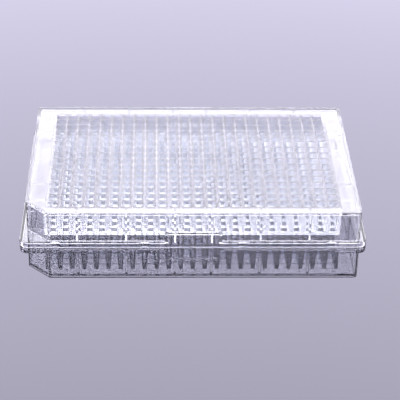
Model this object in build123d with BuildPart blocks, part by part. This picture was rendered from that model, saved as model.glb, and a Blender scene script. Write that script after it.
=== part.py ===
from build123d import *
import os

# Clear microplate with 384 square wells, moulded as one piece, in millimetres.
# Origin: centre of the footprint, on the surface that the plate stands on.
# +X runs along the numbered columns, +Y towards the back row and +Z up.
# The sizes add up to the standard microplate footprint, 127.76 by 85.48.

# ---- well grid
COLUMNS = 24
ROWS = 16
PITCH = 4.5
MOUTH_WIDTH = 3.65
FLOOR_WIDTH = 3.25

# ---- heights, counted up from the bench
BLOCK_LIFT = 2.0
FLOOR_THICKNESS = 0.95
WELL_DEPTH = 10.7
RIM_HEIGHT = 0.55

# ---- walls, and the gaps between the block of wells and the skirt
BLOCK_WALL = 0.93
DECK_THICKNESS = 0.8
SKIRT_WALL = 1.2
RIM_WIDTH = 1.1
END_GAP = 5.845
SIDE_GAP = 3.545

# ---- corners seen from above; the key corner shows which way round the plate is
BLOCK_RADIUS = 0.6
SKIRT_RADIUS = 1.8
KEY_CHAMFER = 8.3

# ---- base flange
FLANGE_HEIGHT = 2.3
FLANGE_STEP_X = 2.33
FLANGE_STEP_Y = 1.49
FLANGE_WALL = 1.2
FLANGE_SHELF = 0.75
FLANGE_RADIUS = 3.18

# ---- taller part of the flange, in the middle of each long side
RISER_LENGTH = 21.0
RISER_HEIGHT = 6.2

# ---- shallow round scallops in the flange face, on each long side; the width is
# the straight distance across the scallop's mouth
RECESS_WIDTH = 4.2
RECESS_DEPTH = 0.6
RECESS_INNER_X = 18.0
RECESS_OUTER_X = 50.8

# ---- ribs between the block and the skirt, at columns and rows counted in
# pitches from the middle of each side; an end's ribs stay higher than the others
RIB_THICKNESS = 0.6
RIB_FIRST = 1.5
RIB_EVERY = 4
RIBS_PER_HALF_SIDE = 3
END_RIB = 4.25
END_RIB_LIFT = 5.8
END_FOOT_DEPTH = 0.9

# ---- round marks of the ejector pins, in the deck's underside
EJECTOR_RADIUS = 1.25
EJECTOR_DEPTH = 0.15
EJECTOR_ROW = 7

# ---- broken edges
EDGE_RADIUS = 0.25

# ---- worked out from the sizes above
well_draft = (MOUTH_WIDTH - FLOOR_WIDTH) / 2
block_length = (COLUMNS - 1) * PITCH + MOUTH_WIDTH + 2 * BLOCK_WALL
block_width = (ROWS - 1) * PITCH + MOUTH_WIDTH + 2 * BLOCK_WALL
cavity_length = block_length + 2 * END_GAP
cavity_width = block_width + 2 * SIDE_GAP
body_length = cavity_length + 2 * SKIRT_WALL
body_width = cavity_width + 2 * SKIRT_WALL
plate_length = body_length + 2 * FLANGE_STEP_X
plate_width = body_width + 2 * FLANGE_STEP_Y
floor_level = BLOCK_LIFT + FLOOR_THICKNESS
deck_top = floor_level + WELL_DEPTH
deck_underside = deck_top - DECK_THICKNESS
plate_height = deck_top + RIM_HEIGHT
flange_pocket_width = plate_width - 2 * FLANGE_WALL
flange_pocket_top = FLANGE_HEIGHT - FLANGE_SHELF
riser_pocket_top = RISER_HEIGHT - FLANGE_SHELF
recess_radius = (RECESS_WIDTH**2 / 4 + RECESS_DEPTH**2) / (2 * RECESS_DEPTH)
recess_y = plate_width / 2 - RECESS_DEPTH + recess_radius
rib_steps = [(RIB_FIRST + RIB_EVERY * n) * PITCH for n in range(RIBS_PER_HALF_SIDE)]
side_ribs = [sign * step for step in rib_steps for sign in (-1, 1)]
riser_ribs = [x for x in side_ribs if abs(x) < RISER_LENGTH / 2 - FLANGE_WALL]
end_rib_y = END_RIB * PITCH
end_foot_x = (cavity_length - END_FOOT_DEPTH) / 2
ejector_x = (block_length + END_GAP) / 2
ejector_y = EJECTOR_ROW * PITCH


def body_outline(inset, height):
    """The skirt's outline, cut across its key corner and moved in by an inset."""
    with BuildSketch(Plane.XY.offset(height)) as outline:
        Rectangle(body_length, body_width)
        key_corner = outline.vertices().sort_by(Axis((0, 0, 0), (1, 1, 0)))[0]
        chamfer(key_corner, KEY_CHAMFER)
        square_corners = outline.vertices().sort_by_distance((0, 0))[-3:]
        fillet(square_corners, SKIRT_RADIUS)
        if inset > 0:
            offset(amount=-inset, mode=Mode.REPLACE)
    return outline.sketch


# One well, in the form of the square pin that moulds it. Its sides have a slight
# draft, so the mouth is wider than the floor. The wedge grows along +Y until it
# is turned upright.
with BuildPart(Plane.XY.offset(floor_level)) as well_core:
    Wedge(
        xsize=FLOOR_WIDTH,
        ysize=WELL_DEPTH,
        zsize=FLOOR_WIDTH,
        xmin=-well_draft,
        zmin=-well_draft,
        xmax=FLOOR_WIDTH + well_draft,
        zmax=FLOOR_WIDTH + well_draft,
        rotation=(90, 0, 0),
        align=(Align.CENTER, Align.MIN, Align.CENTER),
    )

# The base flange, a plain slab with its top edge broken.
with BuildPart() as flange:
    with BuildSketch():
        RectangleRounded(plate_length, plate_width, FLANGE_RADIUS)
    extrude(amount=FLANGE_HEIGHT)
    fillet(flange.edges().group_by(Axis.Z)[-1], EDGE_RADIUS)

# The taller part of the flange, one bar that shows on both long sides.
with BuildPart() as riser:
    with BuildSketch():
        Rectangle(RISER_LENGTH, plate_width)
    extrude(amount=RISER_HEIGHT)
    fillet(riser.edges().filter_by(Axis.Z), EDGE_RADIUS)
    chamfer(riser.edges().group_by(Axis.Z)[-1], EDGE_RADIUS)

with BuildPart() as well_plate:
    # Outside: the skirt stands on the wider flange and its taller part.
    extrude(body_outline(0, 0), amount=plate_height)
    add(flange.part)
    add(riser.part)

    # Underside: one even wall follows the outside, open towards the bench.
    extrude(body_outline(SKIRT_WALL, 0), amount=deck_underside, mode=Mode.SUBTRACT)
    with BuildSketch():
        RectangleRounded(
            plate_length - 2 * FLANGE_WALL,
            flange_pocket_width,
            FLANGE_RADIUS - FLANGE_WALL,
        )
    extrude(amount=flange_pocket_top, mode=Mode.SUBTRACT)
    with BuildSketch():
        Rectangle(RISER_LENGTH - 2 * FLANGE_WALL, flange_pocket_width)
    extrude(amount=riser_pocket_top, mode=Mode.SUBTRACT)

    # The block that holds the wells, hanging from the deck clear of the bench.
    with BuildSketch(Plane.XY.offset(BLOCK_LIFT)):
        RectangleRounded(block_length, block_width, BLOCK_RADIUS)
    extrude(amount=deck_underside - BLOCK_LIFT)

    # Thin ribs tie the block to the skirt, and to the riser where they meet it.
    with BuildSketch(Plane.XY.offset(BLOCK_LIFT)):
        with Locations(*[(x, 0) for x in side_ribs]):
            Rectangle(RIB_THICKNESS, cavity_width)
    extrude(amount=deck_underside - BLOCK_LIFT)
    with BuildSketch(Plane.XY.offset(BLOCK_LIFT)):
        with Locations(*[(x, 0) for x in riser_ribs]):
            Rectangle(RIB_THICKNESS, flange_pocket_width)
    extrude(amount=riser_pocket_top - BLOCK_LIFT)

    # The ribs of the ends stay high, and each has a foot that runs down the skirt.
    with BuildSketch(Plane.XY.offset(END_RIB_LIFT)):
        with GridLocations(0, 2 * end_rib_y, 1, 2):
            Rectangle(cavity_length, RIB_THICKNESS)
    extrude(amount=deck_underside - END_RIB_LIFT)
    with BuildSketch(Plane.XY.offset(flange_pocket_top)):
        with GridLocations(2 * end_foot_x, 2 * end_rib_y, 2, 2):
            Rectangle(END_FOOT_DEPTH, RIB_THICKNESS)
    extrude(amount=END_RIB_LIFT - flange_pocket_top)

    # Ejector pins leave a shallow round mark near each corner of the underside.
    with BuildSketch(Plane.XY.offset(deck_underside)):
        with GridLocations(2 * ejector_x, 2 * ejector_y, 2, 2):
            Circle(EJECTOR_RADIUS)
    extrude(amount=EJECTOR_DEPTH, mode=Mode.SUBTRACT)

    # The deck lies below a raised rim that runs round the whole outline.
    extrude(body_outline(RIM_WIDTH, deck_top), amount=RIM_HEIGHT, mode=Mode.SUBTRACT)

    # The rim's top is rounded outside and bevelled inside.
    rim_top = well_plate.faces().sort_by(Axis.Z)[-1]
    fillet(rim_top.outer_wire().edges(), EDGE_RADIUS)
    rim_top = well_plate.faces().sort_by(Axis.Z)[-1]
    chamfer(rim_top.inner_wires()[0].edges(), EDGE_RADIUS)

    # Shallow round scallops in the flange face.
    with BuildSketch():
        with GridLocations(2 * RECESS_INNER_X, 2 * recess_y, 2, 2):
            Circle(recess_radius)
        with GridLocations(2 * RECESS_OUTER_X, 2 * recess_y, 2, 2):
            Circle(recess_radius)
    extrude(amount=FLANGE_HEIGHT, mode=Mode.SUBTRACT)

    # The wells.
    with GridLocations(PITCH, PITCH, COLUMNS, ROWS):
        add(well_core.part, mode=Mode.SUBTRACT)

well_plate.part.label = "well_plate"
os.makedirs("parts", exist_ok=True)
export_step(well_plate.part, "parts/well_plate.step")
print(f"footprint {plate_length:.2f} x {plate_width:.2f}, height {plate_height:.2f}")
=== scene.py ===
"""A clear moulded well plate of 384 square wells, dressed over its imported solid.

The plate is one closed mesh, so that light bends in and out of it as it does in
the real moulding. Sizes are in millimetres and are turned to metres where a
vertex is made. The frame is the solid's own: origin in the middle of the
footprint on the bench, +X along the columns, +Y towards the back row, +Z up.
"""

import logging
import math
from dataclasses import dataclass, field
from enum import Enum

import bmesh
import bpy
from mathutils import Matrix, Vector


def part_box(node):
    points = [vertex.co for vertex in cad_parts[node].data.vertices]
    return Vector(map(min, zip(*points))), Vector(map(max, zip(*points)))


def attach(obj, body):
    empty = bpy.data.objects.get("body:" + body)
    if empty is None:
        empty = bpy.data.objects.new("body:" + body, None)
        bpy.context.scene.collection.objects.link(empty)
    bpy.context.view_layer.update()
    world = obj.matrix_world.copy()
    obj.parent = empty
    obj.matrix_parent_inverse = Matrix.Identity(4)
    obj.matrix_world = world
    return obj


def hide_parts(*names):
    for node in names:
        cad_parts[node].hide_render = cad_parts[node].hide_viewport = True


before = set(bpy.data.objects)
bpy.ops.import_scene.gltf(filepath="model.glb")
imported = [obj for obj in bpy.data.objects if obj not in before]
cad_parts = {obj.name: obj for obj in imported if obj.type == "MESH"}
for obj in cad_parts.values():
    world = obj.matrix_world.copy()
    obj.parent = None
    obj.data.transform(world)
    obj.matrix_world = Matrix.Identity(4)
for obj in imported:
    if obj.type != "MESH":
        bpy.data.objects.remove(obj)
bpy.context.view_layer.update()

PLATE_NODE = "well_plate"
BODY = "root"

MM = 0.001
WELD_DISTANCE = 0.002 * MM

# Neighbouring faces that turn by less than this, in degrees, become one face.
MERGE_ANGLE = 1.0
# A face within this angle of a wall's direction, in degrees, belongs to that wall.
WALL_ANGLE = 3.0
# Least upward part of the normal of a face that lies flat and looks up.
LEVEL_NORMAL = 0.99

# The sRGB curve: a straight foot up to its knee, and a power curve above it.
SRGB_KNEE = 0.04045
SRGB_FOOT = 12.92
SRGB_OFFSET = 0.055
SRGB_POWER = 2.4

# Signs of X and Y in the four quarters of the plate.
QUARTERS = ((-1, -1), (-1, 1), (1, -1), (1, 1))

Point = tuple[float, float]
Level = float | bpy.types.NodeSocket

log = logging.getLogger("well_plate")


# ---------------------------------------------------------------- small tools


def linear_rgba(hex_code: str, alpha: float = 1.0) -> tuple[float, float, float, float]:
    """Turn an sRGB hex colour into linear light.

    Args:
        hex_code: Six hex digits with a leading hash sign.
        alpha: Opacity, passed on as it is.

    Returns:
        Linear red, green, blue and alpha.
    """
    channels = [int(hex_code[i : i + 2], 16) / 255 for i in (1, 3, 5)]
    red, green, blue = [
        c / SRGB_FOOT
        if c <= SRGB_KNEE
        else ((c + SRGB_OFFSET) / (1 + SRGB_OFFSET)) ** SRGB_POWER
        for c in channels
    ]
    return red, green, blue, alpha


def add_node(
    tree: bpy.types.NodeTree,
    kind: str,
    settings: dict[str, object] | None = None,
    inputs: dict[str | int, object] | None = None,
) -> bpy.types.Node:
    """Add one node, set it up and join what feeds it.

    Args:
        tree: The tree that receives the node.
        kind: Blender's own name for the node type.
        settings: Properties of the node itself.
        inputs: Input sockets by name or number. A value that is an output
            socket is linked, and any other value is written to the socket.

    Returns:
        The new node.
    """
    node = tree.nodes.new(kind)
    for name, value in (settings or {}).items():
        setattr(node, name, value)
    for key, value in (inputs or {}).items():
        if isinstance(value, bpy.types.NodeSocket):
            tree.links.new(value, node.inputs[key])
        else:
            node.inputs[key].default_value = value
    return node


def mesh_object(name: str, mesh: bpy.types.Mesh) -> bpy.types.Object:
    """Link a mesh to the scene as a new object.

    Args:
        name: Name of the object.
        mesh: The mesh that it shows.

    Returns:
        The new object, at the origin.
    """
    piece = bpy.data.objects.new(name, mesh)
    bpy.context.scene.collection.objects.link(piece)
    return piece


def applied(piece: bpy.types.Object, name: str) -> bpy.types.Mesh:
    """Evaluate an object's modifiers into a plain mesh.

    Args:
        piece: The object with its modifiers.
        name: Name of the new mesh.

    Returns:
        A mesh of its own, while the object stays as it was.
    """
    graph = bpy.context.evaluated_depsgraph_get()
    mesh = bpy.data.meshes.new_from_object(piece.evaluated_get(graph))
    mesh.name = name
    return mesh


def discard(*pieces: bpy.types.Object) -> None:
    """Delete helper objects and the meshes that only they used.

    Args:
        pieces: The helper objects.
    """
    for piece in pieces:
        mesh = piece.data
        bpy.data.objects.remove(piece)
        if mesh.users == 0:
            bpy.data.meshes.remove(mesh)


# -------------------------------------------------------------------- outlines


@dataclass(frozen=True)
class Outline:
    """A rectangle seen from above, with round corners and at most one cut corner."""

    length: float
    width: float
    radius: float = 0.0
    key_leg: float = 0.0
    segments: int = 6

    def inset(self, amount: float) -> "Outline":
        """Return the outline moved inwards, with its cut corner kept parallel.

        The cut moves as far as the sides do, which shortens its leg by less.

        Args:
            amount: Distance to move every side, outwards if it is negative.

        Returns:
            The new outline.
        """
        leg = self.key_leg - amount * (2 - math.sqrt(2)) if self.key_leg else 0.0
        return Outline(
            length=self.length - 2 * amount,
            width=self.width - 2 * amount,
            radius=max(self.radius - amount, 0.0),
            key_leg=leg,
            segments=self.segments,
        )

    def corner(self, sign_x: int, sign_y: int, start: float) -> list[Point]:
        """List the points of one corner, anticlockwise.

        Args:
            sign_x: Side of the corner along X, 1 or -1.
            sign_y: Side of the corner along Y, 1 or -1.
            start: Direction of the arc's first point, in degrees.

        Returns:
            One point for a sharp corner, or an arc.
        """
        centre_x = sign_x * (self.length / 2 - self.radius)
        centre_y = sign_y * (self.width / 2 - self.radius)
        if self.radius == 0:
            return [(centre_x, centre_y)]
        turns = [
            math.radians(start + 90 * n / self.segments) for n in range(self.segments + 1)
        ]
        return [
            (centre_x + self.radius * math.cos(t), centre_y + self.radius * math.sin(t))
            for t in turns
        ]

    def points(self) -> list[Point]:
        """List every point of the outline.

        Returns:
            The points, anticlockwise from the +X +Y corner.
        """
        loop = self.corner(1, 1, 0) + self.corner(-1, 1, 90)
        if self.key_leg:
            half_x, half_y = self.length / 2, self.width / 2
            loop += [(-half_x, -half_y + self.key_leg), (-half_x + self.key_leg, -half_y)]
        else:
            loop += self.corner(-1, -1, 180)
        return loop + self.corner(1, -1, 270)


def circle_loop(x: float, y: float, radius: float, steps: int) -> list[Point]:
    """List the points of a circle, anticlockwise seen from above."""
    turns = [2 * math.pi * n / steps for n in range(steps)]
    return [(x + radius * math.cos(t), y + radius * math.sin(t)) for t in turns]


def prism(name: str, loop: list[Point], bottom: float, top: float) -> bpy.types.Object:
    """Raise an outline into a closed upright block.

    Args:
        name: Name of the helper object.
        loop: Anticlockwise points in millimetres.
        bottom: Height of the lower face.
        top: Height of the upper face.

    Returns:
        The helper object.
    """
    count = len(loop)
    vertices = [(x * MM, y * MM, z * MM) for z in (bottom, top) for x, y in loop]
    faces = [tuple(reversed(range(count))), tuple(range(count, 2 * count))]
    faces += [(n, (n + 1) % count, (n + 1) % count + count, n + count) for n in range(count)]
    mesh = bpy.data.meshes.new(name)
    mesh.from_pydata(vertices, [], faces)
    return mesh_object(name, mesh)


# ----------------------------------------------------------------------- sizes


@dataclass(frozen=True)
class PlateSizes:
    """Sizes of the plate, in millimetres; the overall ones come from the frame."""

    length: float
    width: float
    height: float

    columns: int = 24
    rows: int = 16
    pitch: float = 4.5

    rim_height: float = 0.55
    rim_width: float = 1.1
    deck_thickness: float = 0.8
    skirt_wall: float = 1.2
    skirt_radius: float = 1.8
    key_leg: float = 8.3

    block_lift: float = 2.0
    block_end_gap: float = 5.845
    block_side_gap: float = 3.545
    block_radius: float = 0.6

    flange_height: float = 2.3
    flange_step_x: float = 2.33
    flange_step_y: float = 1.49
    flange_wall: float = 1.2
    flange_shelf: float = 0.75
    flange_radius: float = 3.18

    riser_length: float = 21.0
    riser_height: float = 6.2

    @classmethod
    def from_frame(cls, node: str) -> "PlateSizes":
        """Take the overall size from a node of the frame.

        Args:
            node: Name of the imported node.

        Returns:
            The plate's sizes, with the node's length, width and height.
        """
        low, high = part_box(node)
        span = (high - low) / MM
        return cls(length=span.x, width=span.y, height=span.z)

    @property
    def deck_top(self) -> float:
        """Height of the face that the wells open in."""
        return self.height - self.rim_height

    @property
    def deck_underside(self) -> float:
        """Height of the hollow's ceiling."""
        return self.deck_top - self.deck_thickness

    @property
    def body(self) -> Outline:
        """Outside of the skirt, with the key corner cut off."""
        return Outline(
            self.length - 2 * self.flange_step_x,
            self.width - 2 * self.flange_step_y,
            self.skirt_radius,
            self.key_leg,
        )

    @property
    def cavity(self) -> Outline:
        """Inside of the skirt."""
        return self.body.inset(self.skirt_wall)

    @property
    def block(self) -> Outline:
        """Outside of the block that holds the wells."""
        return Outline(
            self.cavity.length - 2 * self.block_end_gap,
            self.cavity.width - 2 * self.block_side_gap,
            self.block_radius,
        )

    @property
    def flange(self) -> Outline:
        """Outside of the base flange."""
        return Outline(self.length, self.width, self.flange_radius)

    @property
    def key_normal(self) -> Vector:
        """Direction that the cut corner faces."""
        return Vector((-1, -1, 0)).normalized()


# ----------------------------------------------------------------- well field


@dataclass(frozen=True)
class GridOfCopies:
    """A Geometry Nodes tree that sets copies of one piece on a square grid."""

    name: str
    columns: int
    rows: int
    pitch_x: float
    pitch_y: float

    def tree(self) -> bpy.types.NodeTree:
        """Build the tree, with every size as a named input.

        Returns:
            The node tree, ready for a modifier.
        """
        tree = bpy.data.node_groups.new(self.name, "GeometryNodeTree")
        sockets = tree.interface
        for label, kind in (
            ("Copy", "NodeSocketObject"),
            ("Columns", "NodeSocketInt"),
            ("Rows", "NodeSocketInt"),
            ("Pitch X", "NodeSocketFloat"),
            ("Pitch Y", "NodeSocketFloat"),
            ("Weld", "NodeSocketFloat"),
            ("Material", "NodeSocketMaterial"),
        ):
            sockets.new_socket(name=label, in_out="INPUT", socket_type=kind)
        sockets.new_socket(name="Geometry", in_out="OUTPUT", socket_type="NodeSocketGeometry")
        given = add_node(tree, "NodeGroupInput").outputs

        def span(count: str, pitch: str) -> bpy.types.NodeSocket:
            """Work out the length from the first copy to the last along an axis.

            Args:
                count: Input that holds the number of copies.
                pitch: Input that holds the distance between two copies.

            Returns:
                The output that gives the length.
            """
            steps = add_node(
                tree, "ShaderNodeMath", {"operation": "SUBTRACT"}, {0: given[count], 1: 1.0}
            )
            return add_node(
                tree,
                "ShaderNodeMath",
                {"operation": "MULTIPLY"},
                {0: steps.outputs[0], 1: given[pitch]},
            ).outputs[0]

        grid = add_node(
            tree,
            "GeometryNodeMeshGrid",
            inputs={
                "Size X": span("Columns", "Pitch X"),
                "Size Y": span("Rows", "Pitch Y"),
                "Vertices X": given["Columns"],
                "Vertices Y": given["Rows"],
            },
        )
        source = add_node(tree, "GeometryNodeObjectInfo", inputs={"Object": given["Copy"]})
        copies = add_node(
            tree,
            "GeometryNodeInstanceOnPoints",
            inputs={"Points": grid.outputs["Mesh"], "Instance": source.outputs["Geometry"]},
        )
        real = add_node(
            tree, "GeometryNodeRealizeInstances", inputs={"Geometry": copies.outputs[0]}
        )
        welded = add_node(
            tree,
            "GeometryNodeMergeByDistance",
            inputs={"Geometry": real.outputs[0], "Distance": given["Weld"]},
        )
        dressed = add_node(
            tree,
            "GeometryNodeSetMaterial",
            inputs={"Geometry": welded.outputs[0], "Material": given["Material"]},
        )
        add_node(tree, "NodeGroupOutput", inputs={"Geometry": dressed.outputs[0]})
        return tree

    def build(self, copy: bpy.types.Object, material: bpy.types.Material) -> bpy.types.Mesh:
        """Set out the copies and return them as one plain mesh.

        Args:
            copy: The piece to repeat.
            material: Finish of every copy.

        Returns:
            A mesh with the copies welded where they meet.
        """
        carrier = mesh_object(self.name, bpy.data.meshes.new(self.name))
        modifier = carrier.modifiers.new("Copies", "NODES")
        modifier.node_group = self.tree()
        values = {
            "Copy": copy,
            "Columns": self.columns,
            "Rows": self.rows,
            "Pitch X": self.pitch_x * MM,
            "Pitch Y": self.pitch_y * MM,
            "Weld": WELD_DISTANCE,
            "Material": material,
        }
        for socket in modifier.node_group.interface.items_tree:
            if socket.in_out == "INPUT":
                modifier[socket.identifier] = values[socket.name]
        mesh = applied(carrier, self.name)
        carrier.modifiers.remove(modifier)
        discard(carrier)
        return mesh


@dataclass(frozen=True)
class WellTile:
    """One square cell of the deck with its well, the shape that repeats."""

    pitch: float
    deck_top: float
    depth: float = 10.7
    mouth_width: float = 3.65
    mouth_radius: float = 0.5
    floor_width: float = 3.25
    floor_radius: float = 0.8
    lip: float = 0.2
    foot: float = 0.45
    segments: int = 3

    def rings(self) -> list[tuple[Outline, float]]:
        """List the well's outlines, from the deck down to its floor.

        Returns:
            Each outline with its height.
        """
        floor = self.deck_top - self.depth
        mouth = Outline(
            self.mouth_width, self.mouth_width, self.mouth_radius, segments=self.segments
        )
        bottom = Outline(
            self.floor_width, self.floor_width, self.floor_radius, segments=self.segments
        )
        return [
            (mouth.inset(-self.lip), self.deck_top),
            (mouth, self.deck_top - self.lip),
            (bottom, floor + self.foot),
            (bottom.inset(self.foot), floor),
        ]

    def build(self) -> bpy.types.Object:
        """Build the cell: a flat collar, a rounded lip, drafted sides and a floor.

        Returns:
            A helper object whose upper faces point up and out of the well.
        """
        shape = bmesh.new()
        rings = [
            [shape.verts.new((x * MM, y * MM, z * MM)) for x, y in outline.points()]
            for outline, z in self.rings()
        ]
        half = self.pitch / 2
        corners = [
            shape.verts.new((x * half * MM, y * half * MM, self.deck_top * MM))
            for x, y in ((1, 1), (-1, 1), (-1, -1), (1, -1))
        ]
        lip = rings[0]
        step = self.segments + 1
        for n, corner in enumerate(corners):
            arc = lip[n * step : (n + 1) * step]
            following = lip[(n + 1) * step % len(lip)]
            shape.faces.new([corner, *reversed(arc)])
            shape.faces.new([corner, corners[(n + 1) % len(corners)], following, arc[-1]])
        for upper, lower in zip(rings, rings[1:]):
            for n in range(len(upper)):
                after = (n + 1) % len(upper)
                shape.faces.new([upper[n], upper[after], lower[after], lower[n]])
        shape.faces.new(rings[-1])
        mesh = bpy.data.meshes.new("well_tile")
        shape.to_mesh(mesh)
        shape.free()
        return mesh_object("well_tile", mesh)


@dataclass(frozen=True)
class WellField:
    """The deck's grid of wells."""

    sizes: PlateSizes

    def build(self, material: bpy.types.Material) -> bpy.types.Mesh:
        """Lay out every well.

        Args:
            material: Finish of the plate.

        Returns:
            One open sheet, bounded by a rectangle at the deck's height.
        """
        s = self.sizes
        tile = WellTile(s.pitch, s.deck_top).build()
        grid = GridOfCopies("well_grid", s.columns, s.rows, s.pitch, s.pitch)
        mesh = grid.build(tile, material)
        discard(tile)
        return mesh


# ----------------------------------------------------------------- the moulding


class Cut(Enum):
    """What a helper block does to the body that it meets."""

    JOIN = "UNION"
    REMOVE = "DIFFERENCE"


@dataclass(frozen=True)
class Bar:
    """An upright bar in the +X +Y quarter of the plate, in millimetres."""

    x: tuple[float, float]
    y: tuple[float, float]
    bottom: float
    top: float

    def mirrored(self, sign_x: int, sign_y: int) -> list[Point]:
        """Outline the bar's copy in any quarter of the plate.

        Args:
            sign_x: Side of the quarter along X, 1 or -1.
            sign_y: Side of the quarter along Y, 1 or -1.

        Returns:
            Its four corners, anticlockwise seen from above.
        """
        x0, x1 = sorted(sign_x * x for x in self.x)
        y0, y1 = sorted(sign_y * y for y in self.y)
        return [(x0, y0), (x1, y0), (x1, y1), (x0, y1)]


@dataclass
class PlateShell:
    """Everything of the moulding but the wells: skirt, flange, ribs and rim.

    Rib steps and the marks' row are counted in pitches from the middle of the
    plate, and cuts from underneath start at the height called below.
    """

    sizes: PlateSizes

    rib_thickness: float = 0.6
    side_rib_steps: tuple[float, ...] = (1.5, 5.5, 9.5)
    end_rib_step: float = 4.25
    end_rib_lift: float = 5.8
    end_foot_depth: float = 0.9

    recess_width: float = 4.2
    recess_depth: float = 0.6
    recess_places: tuple[float, ...] = (18.0, 50.8)
    recess_circle_steps: int = 192

    mark_radius: float = 1.25
    mark_depth: float = 0.15
    mark_row: int = 7
    mark_circle_steps: int = 48

    edge_width: float = 0.2
    edge_segments: int = 3
    edge_angle: float = 30.0

    below: float = -1.0
    helpers: list[bpy.types.Object] = field(default_factory=list)

    @property
    def root(self) -> float:
        """Height in the middle of the deck, where hanging parts end."""
        return self.sizes.deck_underside + self.sizes.deck_thickness / 2

    @property
    def flange_ceiling(self) -> float:
        """Height of the hollow under the flange's shelf."""
        return self.sizes.flange_height - self.sizes.flange_shelf

    def shape(self, body: bpy.types.Object, cut: Cut, block: bpy.types.Object) -> None:
        """Queue one joining or cutting step on the body.

        Args:
            body: The object that is being shaped.
            cut: Whether the block is joined or removed.
            block: The helper block.
        """
        step = body.modifiers.new(block.name, "BOOLEAN")
        step.operation = cut.value
        step.solver = "EXACT"
        step.object = block
        self.helpers.append(block)

    def settle(self, body: bpy.types.Object, name: str) -> bpy.types.Object:
        """Apply the queued steps, merge flat faces and drop the helpers.

        Args:
            body: The object with its queued steps.
            name: Name of the result.

        Returns:
            A plain object with the shaped mesh.
        """
        mesh = applied(body, name)
        discard(body, *self.helpers)
        self.helpers.clear()
        shape = bmesh.new()
        shape.from_mesh(mesh)
        bmesh.ops.remove_doubles(shape, verts=shape.verts, dist=WELD_DISTANCE)
        bmesh.ops.dissolve_limit(
            shape,
            angle_limit=math.radians(MERGE_ANGLE),
            use_dissolve_boundaries=False,
            verts=shape.verts,
            edges=shape.edges,
            delimit=set(),
        )
        bmesh.ops.recalc_face_normals(shape, faces=shape.faces)
        shape.to_mesh(mesh)
        shape.free()
        return mesh_object(name, mesh)

    def outside(self) -> bpy.types.Object:
        """Raise the skirt, flange and riser and cut their hollow from below.

        Returns:
            The body, with the steps queued on it.
        """
        s = self.sizes
        flange_inner = s.flange.inset(s.flange_wall)
        riser = Outline(s.riser_length, s.width)
        riser_inner = riser.inset(s.flange_wall)
        body = prism("body", s.body.points(), 0, s.height)
        self.shape(body, Cut.JOIN, prism("flange", s.flange.points(), 0, s.flange_height))
        self.shape(body, Cut.JOIN, prism("riser", riser.points(), 0, s.riser_height))
        hollows = (
            ("cavity", s.cavity, s.deck_underside),
            ("flange_pocket", flange_inner, self.flange_ceiling),
            ("riser_pocket", riser_inner, s.riser_height - s.flange_shelf),
        )
        for name, outline, ceiling in hollows:
            self.shape(body, Cut.REMOVE, prism(name, outline.points(), self.below, ceiling))
        return body

    def well_block(self, body: bpy.types.Object) -> None:
        """Hang the block of wells from the deck."""
        s = self.sizes
        self.shape(body, Cut.JOIN, prism("block", s.block.points(), s.block_lift, self.root))

    def quarter_ribs(self) -> list[Bar]:
        """List the ribs of the +X +Y quarter.

        Returns:
            The ribs, each ending inside the walls that it ties together.
        """
        s = self.sizes
        half = self.rib_thickness / 2
        half_wall = s.skirt_wall / 2
        skirt_y = s.cavity.width / 2 + half_wall
        riser_y = s.width / 2 - s.flange_wall / 2
        riser_top = s.riser_height - s.flange_shelf / 2
        riser_limit = s.riser_length / 2 - s.flange_wall
        bars = []
        for step in self.side_rib_steps:
            x = (step * s.pitch - half, step * s.pitch + half)
            bars.append(Bar(x, (0, skirt_y), s.block_lift, self.root))
            if step * s.pitch < riser_limit:
                bars.append(Bar(x, (0, riser_y), s.block_lift, riser_top))
        middle = self.end_rib_step * s.pitch
        y = (middle - half, middle + half)
        cavity_x = s.cavity.length / 2
        skirt_x = cavity_x + half_wall
        foot_x = cavity_x - self.end_foot_depth
        bars.append(Bar((0, skirt_x), y, self.end_rib_lift, self.root))
        bars.append(Bar((foot_x, skirt_x), y, self.flange_ceiling, self.root))
        return bars

    def ribs(self, body: bpy.types.Object) -> None:
        """Tie the block to the skirt with thin ribs, the same in every quarter.

        Args:
            body: The object that is being shaped.
        """
        for n, bar in enumerate(self.quarter_ribs()):
            for sign_x, sign_y in QUARTERS:
                name = f"rib_{n}_{sign_x:+d}_{sign_y:+d}"
                block = prism(name, bar.mirrored(sign_x, sign_y), bar.bottom, bar.top)
                self.shape(body, Cut.JOIN, block)

    def cuts(self, body: bpy.types.Object) -> None:
        """Sink the deck below the rim and cut the recesses in the flange face.

        Args:
            body: The object that is being shaped.
        """
        s = self.sizes
        deck = s.body.inset(s.rim_width)
        above = s.height + s.rim_height
        self.shape(body, Cut.REMOVE, prism("deck", deck.points(), s.deck_top, above))
        radius = (self.recess_width**2 / 4 + self.recess_depth**2) / (2 * self.recess_depth)
        middle = s.width / 2 - self.recess_depth + radius
        top = s.flange_height + self.recess_depth
        for place in self.recess_places:
            for sign_x, sign_y in QUARTERS:
                x, y = sign_x * place, sign_y * middle
                loop = circle_loop(x, y, radius, self.recess_circle_steps)
                name = f"recess_{x:+.0f}_{y:+.0f}"
                self.shape(body, Cut.REMOVE, prism(name, loop, self.below, top))

    def marks(self, body: bpy.types.Object) -> None:
        """Queue the four round ejector marks in the deck's underside.

        Args:
            body: The object that is being shaped.
        """
        s = self.sizes
        x = (s.block.length + s.block_end_gap) / 2
        y = self.mark_row * s.pitch
        bottom = s.deck_underside - self.mark_depth
        top = s.deck_underside + self.mark_depth
        for sign_x, sign_y in QUARTERS:
            loop = circle_loop(sign_x * x, sign_y * y, self.mark_radius, self.mark_circle_steps)
            name = f"mark_{sign_x:+d}_{sign_y:+d}"
            self.shape(body, Cut.REMOVE, prism(name, loop, bottom, top))

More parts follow.
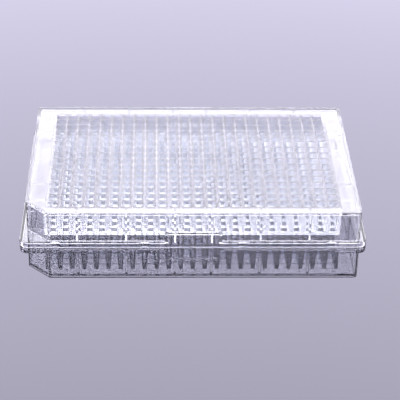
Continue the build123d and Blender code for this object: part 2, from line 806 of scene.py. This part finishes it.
    def build(self) -> bpy.types.Object:
        """Build the shell, with every edge rounded.

        Returns:
            A closed object whose deck is still one flat face.
        """
        body = self.outside()
        self.well_block(body)
        self.ribs(body)
        self.cuts(body)
        body = self.settle(body, "shell")
        rounding = body.modifiers.new("Rounding", "BEVEL")
        rounding.width = self.edge_width * MM
        rounding.segments = self.edge_segments
        rounding.limit_method = "ANGLE"
        rounding.angle_limit = math.radians(self.edge_angle)
        rounding.use_clamp_overlap = False
        self.marks(body)
        return self.settle(body, "shell")


def even_normals(shape: bmesh.types.BMesh, key_normal: Vector) -> list[Vector]:
    """Work out a normal for every face corner, so that flat walls stay flat.

    A corner on a flat wall takes the wall's own normal. A corner on a rounded
    edge takes the normal of the one flat wall that it touches, so that the edge
    runs smoothly into it, and otherwise the average of the faces around it.

    Args:
        shape: The closed moulding.
        key_normal: Direction that the cut key corner faces.

    Returns:
        Normals in the order of the mesh's face corners.
    """
    shape.normal_update()
    walls = [Vector((1, 0, 0)), Vector((0, 1, 0)), Vector((0, 0, 1)), key_normal]
    limit = math.cos(math.radians(WALL_ANGLE))
    flat = {f: any(abs(f.normal.dot(w)) > limit for w in walls) for f in shape.faces}
    normals = []
    for face in shape.faces:
        for loop in face.loops:
            if flat[face]:
                normals.append(face.normal.copy())
                continue
            near = [f for f in loop.vert.link_faces if flat[f]]
            touched = [f for f in near if f.normal.dot(near[0].normal) > limit]
            if near and len(touched) == len(near):
                normals.append(max(near, key=lambda f: f.calc_area()).normal.copy())
            else:
                normals.append(loop.vert.normal.copy())
    return normals


# -------------------------------------------------------------------- finishes


@dataclass(frozen=True)
class ClearPolystyrene:
    """General-purpose polystyrene, injection-moulded in a polished tool.

    It bends light strongly, so its edges and walls show as bright and dark
    lines, and its flat faces carry sharp reflections.
    """

    tint: str = "#FCFDFF"
    ior: float = 1.59
    roughness: float = 0.045
    wave_mm: float = 14.0
    wave_height_mm: float = 0.004
    wave_detail: float = 1.0
    wave_roughness: float = 0.4

    def build(self) -> bpy.types.Material:
        """Make the material.

        Returns:
            A clear plastic with the faint waviness of a moulded face.
        """
        material = bpy.data.materials.new("moulded_clear_polystyrene")
        material.use_nodes = True
        tree = material.node_tree
        tree.nodes.clear()
        place = add_node(tree, "ShaderNodeTexCoord")
        wave = add_node(
            tree,
            "ShaderNodeTexNoise",
            {"noise_dimensions": "3D"},
            {
                "Vector": place.outputs["Object"],
                "Scale": 1 / (self.wave_mm * MM),
                "Detail": self.wave_detail,
                "Roughness": self.wave_roughness,
            },
        )
        relief = add_node(
            tree,
            "ShaderNodeBump",
            inputs={
                "Strength": 1.0,
                "Distance": self.wave_height_mm * MM,
                "Height": wave.outputs["Fac"],
            },
        )
        surface = add_node(
            tree,
            "ShaderNodeBsdfPrincipled",
            inputs={
                "Base Color": linear_rgba(self.tint),
                "Roughness": self.roughness,
                "IOR": self.ior,
                "Transmission Weight": 1.0,
                "Normal": relief.outputs["Normal"],
            },
        )
        add_node(
            tree, "ShaderNodeOutputMaterial", inputs={"Surface": surface.outputs["BSDF"]}
        )
        return material


@dataclass(frozen=True)
class TableAcrylic:
    """Polished clear sheet acrylic laid over black, seen only by what it mirrors.

    The sheet mirrors on its upper and on its lower face, and both mirror more of
    the light that comes in low.

    Attributes:
        tint: Colour of what the sheet mirrors.
        ior: How strongly acrylic bends light, which sets its share of mirroring.
        faces: How many faces' worth of mirroring the sheet gives.
        roughness: How far the mirror image is softened.
    """

    tint: str = "#EEEDFF"
    ior: float = 1.49
    faces: float = 2.05
    roughness: float = 0.012

    def build(self) -> bpy.types.Material:
        """Make the material.

        Returns:
            A smooth mirror of its two faces.
        """
        material = bpy.data.materials.new("polished_acrylic_table")
        material.use_nodes = True
        tree = material.node_tree
        tree.nodes.clear()
        share = add_node(tree, "ShaderNodeFresnel", inputs={"IOR": self.ior})
        both = add_node(
            tree,
            "ShaderNodeMath",
            {"operation": "MULTIPLY", "use_clamp": True},
            {0: share.outputs[0], 1: self.faces},
        )
        colour = add_node(
            tree,
            "ShaderNodeVectorMath",
            {"operation": "MULTIPLY"},
            {0: both.outputs[0], 1: linear_rgba(self.tint)[:3]},
        )
        gloss = add_node(
            tree,
            "ShaderNodeBsdfAnisotropic",
            inputs={"Color": colour.outputs[0], "Roughness": self.roughness},
        )
        add_node(tree, "ShaderNodeOutputMaterial", inputs={"Surface": gloss.outputs["BSDF"]})
        return material


# ------------------------------------------------------------------- the plate


@dataclass
class WellPlate:
    """The whole moulding, one closed mesh in place of the plain solid."""

    sizes: PlateSizes
    finish: ClearPolystyrene = field(default_factory=ClearPolystyrene)

    def open_deck(self, shape: bmesh.types.BMesh) -> list[bmesh.types.BMEdge]:
        """Delete the deck's flat face, so that the wells can take its place.

        Args:
            shape: The moulding with a plain deck.

        Returns:
            The loop of edges that the face leaves.
        """
        level = self.sizes.deck_top * MM
        deck = [
            f
            for f in shape.faces
            if f.normal.z > LEVEL_NORMAL
            and all(abs(v.co.z - level) < WELD_DISTANCE for v in f.verts)
        ]
        loop = {e for f in deck for e in f.edges if any(g not in deck for g in e.link_faces)}
        bmesh.ops.delete(shape, geom=deck, context="FACES_ONLY")
        stray = [e for e in shape.edges if not e.link_faces and e not in loop]
        bmesh.ops.delete(shape, geom=stray, context="EDGES")
        return list(loop)

    def join(self, shell: bpy.types.Mesh, wells: bpy.types.Mesh) -> bmesh.types.BMesh:
        """Set the wells into the shell's deck and close the gap around them.

        Args:
            shell: The moulding with a plain deck.
            wells: The open sheet of wells at the deck's height.

        Returns:
            One closed shape, with its faces turned outwards.
        """
        shape = bmesh.new()
        shape.from_mesh(shell)
        loop = self.open_deck(shape)
        known = set(shape.edges)
        shape.from_mesh(wells)
        border = [e for e in shape.edges if e not in known and len(e.link_faces) == 1]
        bmesh.ops.triangle_fill(
            shape, use_beauty=True, use_dissolve=False, edges=loop + border, normal=(0, 0, 1)
        )
        bmesh.ops.remove_doubles(shape, verts=shape.verts, dist=WELD_DISTANCE)
        bmesh.ops.recalc_face_normals(shape, faces=shape.faces)
        open_edges = sum(not e.is_manifold for e in shape.edges)
        log.info("edges that don't join two faces: %d", open_edges)
        return shape

    def build(self) -> bpy.types.Object:
        """Join the shell and the wells into one closed piece and dress it.

        Returns:
            The finished plate.
        """
        material = self.finish.build()
        shell = PlateShell(self.sizes).build()
        wells = WellField(self.sizes).build(material)
        shape = self.join(shell.data, wells)
        discard(shell)
        bpy.data.meshes.remove(wells)
        normals = even_normals(shape, self.sizes.key_normal)
        for face in shape.faces:
            face.smooth = True
            # The wells' faces still point at the slot that their node tree added.
            face.material_index = 0
        mesh = bpy.data.meshes.new("plate")
        shape.to_mesh(mesh)
        shape.free()
        mesh.normals_split_custom_set(normals)
        mesh.materials.append(material)
        plate = mesh_object("moulded_plate", mesh)
        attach(plate, BODY)
        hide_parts(PLATE_NODE)
        return plate


# ---------------------------------------------------------------------- studio


@dataclass(frozen=True)
class Studio:
    """A glossy table in a wide soft light, brightest behind it and overhead.

    Values that end in _from or _to are in degrees above the horizon. The light
    passes from front to back within turn of the middle, as a share of the way
    to straight ahead. The table's size is in metres.
    """

    table_size: float = 12.0
    sky: str = "#F9F6FF"
    back_low: float = 3.1
    back_high: float = 4.0
    back_from: float = 22.0
    back_to: float = 39.0
    front: float = 1.2
    turn: float = 0.35
    horizon: float = 0.9
    horizon_to: float = 20.0
    overhead: float = 3.9
    overhead_from: float = 58.0
    overhead_to: float = 72.0

    bounces: int = 48
    glossy_bounces: int = 24
    transparent_bounces: int = 16

    def table(self) -> bpy.types.Object:
        """Lay the table under the plate.

        Returns:
            The table, which belongs to the stage and not to the part.
        """
        half = self.table_size / 2
        mesh = bpy.data.meshes.new("table")
        mesh.from_pydata(
            [(-half, -half, 0), (half, -half, 0), (half, half, 0), (-half, half, 0)],
            [],
            [(0, 1, 2, 3)],
        )
        table = mesh_object("table", mesh)
        table.data.materials.append(TableAcrylic().build())
        return table

    def blend(
        self,
        tree: bpy.types.NodeTree,
        value: bpy.types.NodeSocket,
        span: tuple[float, float],
        levels: tuple[Level, Level],
    ) -> bpy.types.NodeSocket:
        """Pass smoothly from one level of light to another.

        Args:
            tree: The tree that receives the node.
            value: What decides between the two levels.
            span: Where the change starts and ends.
            levels: The two levels, as numbers or as outputs of other nodes.

        Returns:
            The level at each direction.
        """
        node = add_node(
            tree,
            "ShaderNodeMapRange",
            {"interpolation_type": "SMOOTHSTEP"},
            {
                "Value": value,
                "From Min": span[0],
                "From Max": span[1],
                "To Min": levels[0],
                "To Max": levels[1],
            },
        )
        return node.outputs[0]

    def light(self) -> bpy.types.World:
        """Light the table from behind and overhead, and dimly from the front.

        Returns:
            The world that holds the light.
        """
        world = bpy.data.worlds.new("studio")
        world.use_nodes = True
        tree = world.node_tree
        tree.nodes.clear()
        direction = add_node(tree, "ShaderNodeTexCoord")
        parts = add_node(
            tree, "ShaderNodeSeparateXYZ", inputs={"Vector": direction.outputs["Generated"]}
        )
        height, depth = parts.outputs["Z"], parts.outputs["Y"]
        rise, low, top = (
            (math.sin(math.radians(start)), math.sin(math.radians(end)))
            for start, end in (
                (self.back_from, self.back_to),
                (0.0, self.horizon_to),
                (self.overhead_from, self.overhead_to),
            )
        )
        back = self.blend(tree, height, rise, (self.back_low, self.back_high))
        around = self.blend(tree, depth, (-self.turn, self.turn), (self.front, back))
        raised = self.blend(tree, height, low, (self.horizon, around))
        level = self.blend(tree, height, top, (raised, self.overhead))
        glow = add_node(
            tree,
            "ShaderNodeBackground",
            inputs={"Color": linear_rgba(self.sky), "Strength": level},
        )
        add_node(tree, "ShaderNodeOutputWorld", inputs={"Surface": glow.outputs[0]})
        bpy.context.scene.world = world
        return world

    def build(self) -> None:
        """Set up table, light and the way light paths are followed."""
        self.table()
        self.light()
        scene = bpy.context.scene
        scene.view_settings.view_transform = "Standard"
        scene.cycles.max_bounces = self.bounces
        scene.cycles.transmission_bounces = self.bounces
        scene.cycles.glossy_bounces = self.glossy_bounces
        scene.cycles.transparent_max_bounces = self.transparent_bounces


@dataclass(frozen=True)
class StudioCamera:
    """A long lens that looks down at the plate from the front.

    Turns are in degrees and everything else is in millimetres.
    """

    place: tuple[float, float, float] = (-14.79, -508.08, 303.97)
    pitch: float = 31.31
    yaw: float = -2.07
    roll: float = 1.10
    lens: float = 136.2
    sensor: float = 36.0
    nearest: float = 10.0
    farthest: float = 100_000.0

    def build(self) -> bpy.types.Object:
        """Make the camera and hand it to the scene.

        Returns:
            The camera, in its place.
        """
        data = bpy.data.cameras.new("studio_camera")
        data.lens = self.lens
        data.sensor_width = self.sensor
        data.clip_start = self.nearest * MM
        data.clip_end = self.farthest * MM
        camera = bpy.data.objects.new("studio_camera", data)
        bpy.context.scene.collection.objects.link(camera)
        turn = Matrix.Rotation(math.radians(self.yaw), 4, "Z")
        tilt = Matrix.Rotation(math.radians(90 - self.pitch), 4, "X")
        lean = Matrix.Rotation(math.radians(self.roll), 4, "Z")
        camera.matrix_world = Matrix.Translation(Vector(self.place) * MM) @ turn @ tilt @ lean
        bpy.context.scene.camera = camera
        return camera


def main() -> None:
    """Build the studio and the plate, and report each piece."""
    logging.basicConfig(level=logging.INFO, format="%(name)s: %(message)s")
    StudioCamera().build()
    Studio().build()
    sizes = PlateSizes.from_frame(PLATE_NODE)
    plate = WellPlate(sizes).build()
    log.info("%s: %d faces", plate.name, len(plate.data.polygons))


if __name__ == "__main__":
    main()
